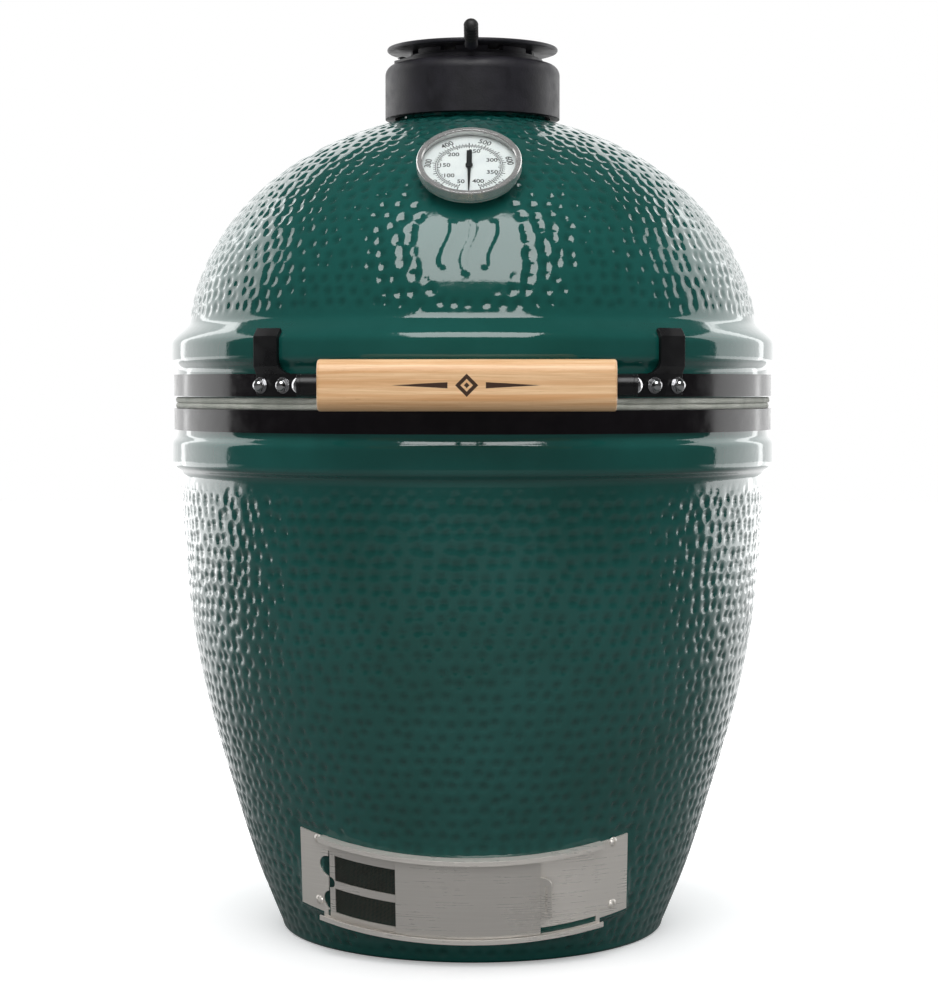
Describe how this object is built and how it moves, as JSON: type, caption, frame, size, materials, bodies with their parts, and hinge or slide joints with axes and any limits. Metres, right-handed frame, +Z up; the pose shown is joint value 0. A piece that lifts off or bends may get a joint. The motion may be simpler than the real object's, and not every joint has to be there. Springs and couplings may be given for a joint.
{
  "type": "kamado ceramic grill",
  "caption": "Egg-shaped ceramic charcoal grill with a sprung hinged dome, wooden lift handle, dial thermometer, sliding draft door below and a swinging, turning damper cap on top.",
  "frame": {"origin": "centre of the flat foot on the ground plane", "axes": "+Z up along the body axis, -Y towards the handle and draft door at the front, +X to the right seen from the front"},
  "size_m": [0.546, 0.6693, 0.8098],
  "materials": {
    "glaze": "gloss green glaze over a dimpled surface",
    "fireclay": "bare refractory ceramic",
    "felt": "pressed white-grey felt",
    "band_paint": "satin black paint",
    "bracket_paint": "gloss black paint",
    "zinc": "polished plated steel",
    "spring_steel": "oiled spring steel",
    "stainless": "brushed stainless sheet",
    "woven_steel": "woven stainless wire",
    "grid_steel": "stainless wire",
    "iron": "satin black coated casting",
    "grate_iron": "bare cast iron",
    "handle_wood": "pale clear-lacquered hardwood",
    "grip_rubber": "ribbed black grip",
    "dial_white": "white enamel with black scale marks",
    "pointer_black": "matt black",
    "lens_glass": "clear flat glass",
    "bezel_chrome": "polished",
    "silicone": "heat-proof washer"
  },
  "bodies": {
    "base": {"base_shell": "glaze", "base_gasket": "felt", "lower_band": "band_paint", "lower_band_bolt": "zinc", "lower_hinge_bracket": "bracket_paint", "lower_hinge_studs": "zinc", "lower_hinge_nuts": "zinc", "hinge_pivot_bolt": "zinc", "hinge_pivot_nut": "zinc", "spring_anchor_pin": "zinc", "hinge_spring_left": "spring_steel", "hinge_spring_right": "spring_steel", "fire_box": "fireclay", "fire_ring": "fireclay", "charcoal_grate": "grate_iron", "vent_frame": "stainless", "vent_screws": "stainless"},
    "lid": {"lid_shell": "glaze", "lid_gasket": "felt", "upper_band": "band_paint", "upper_band_bolt": "zinc", "handle_bracket_right": "bracket_paint", "handle_bracket_left": "bracket_paint", "bracket_studs": "zinc", "bracket_nuts": "zinc", "handle_bar": "handle_wood", "handle_spacers": "bracket_paint", "handle_bolts": "zinc", "upper_hinge_bracket": "bracket_paint", "upper_hinge_studs": "zinc", "upper_hinge_nuts": "zinc", "hinge_sleeve": "zinc", "spring_lever_pin": "zinc", "thermometer_gasket": "silicone", "thermometer_case": "bezel_chrome", "thermometer_stem": "stainless", "thermometer_clip": "zinc", "thermometer_dial": "dial_white", "thermometer_lens": "lens_glass", "thermometer_bezel": "bezel_chrome", "chimney_gasket": "felt", "cap_collar": "iron", "damper_pivot_bolt": "zinc"},
    "damper": {"swing_plate": "iron", "rain_cap_axle": "zinc", "rain_cap_nut": "zinc"},
    "rain_cap": {"rain_cap": "iron", "rain_cap_grip": "grip_rubber"},
    "pointer": {"thermometer_pointer": "pointer_black"},
    "draft_door": {"door_panel": "stainless"},
    "draft_screen": {"screen_panel": "stainless", "screen_mesh": "woven_steel"},
    "cooking_grid": {"cooking_grid": "grid_steel"}
  },
  "joints": [
    {"name": "lid_hinge", "type": "hinge", "parent": "base", "child": "lid", "pos_m": [0, 0.298, 0.476], "axis": [-1, 0, 0], "range_deg": [0, 75], "deforming": ["hinge_spring_left", "hinge_spring_right"]},
    {"name": "damper_swing", "type": "hinge", "parent": "lid", "child": "damper", "pos_m": [-0.0635, 0, 0.783], "axis": [0, 0, 1], "range_deg": [0, 95]},
    {"name": "rain_cap_turn", "type": "hinge", "parent": "damper", "child": "rain_cap", "pos_m": [0, 0, 0.783], "axis": [0, 0, 1], "range_deg": [0, 45]},
    {"name": "thermometer_pointer_turn", "type": "hinge", "parent": "lid", "child": "pointer", "pos_m": [0, -0.20114, 0.67347], "axis": [0, 0.6947, -0.7193], "range_deg": [0, 325]},
    {"name": "draft_door_slide", "type": "hinge", "parent": "base", "child": "draft_door", "pos_m": [0, 0, 0.123], "axis": [0, -0.2924, 0.9563], "range_deg": [-19.3, 15.2]},
    {"name": "draft_screen_slide", "type": "hinge", "parent": "base", "child": "draft_screen", "pos_m": [0, 0, 0.123], "axis": [0, -0.2924, 0.9563], "range_deg": [0, 32.2]},
    {"name": "cooking_grid_lift", "type": "slide", "parent": "base", "child": "cooking_grid", "axis": [0, 0, 1], "range_m": [0, 0.045]}
  ]
}
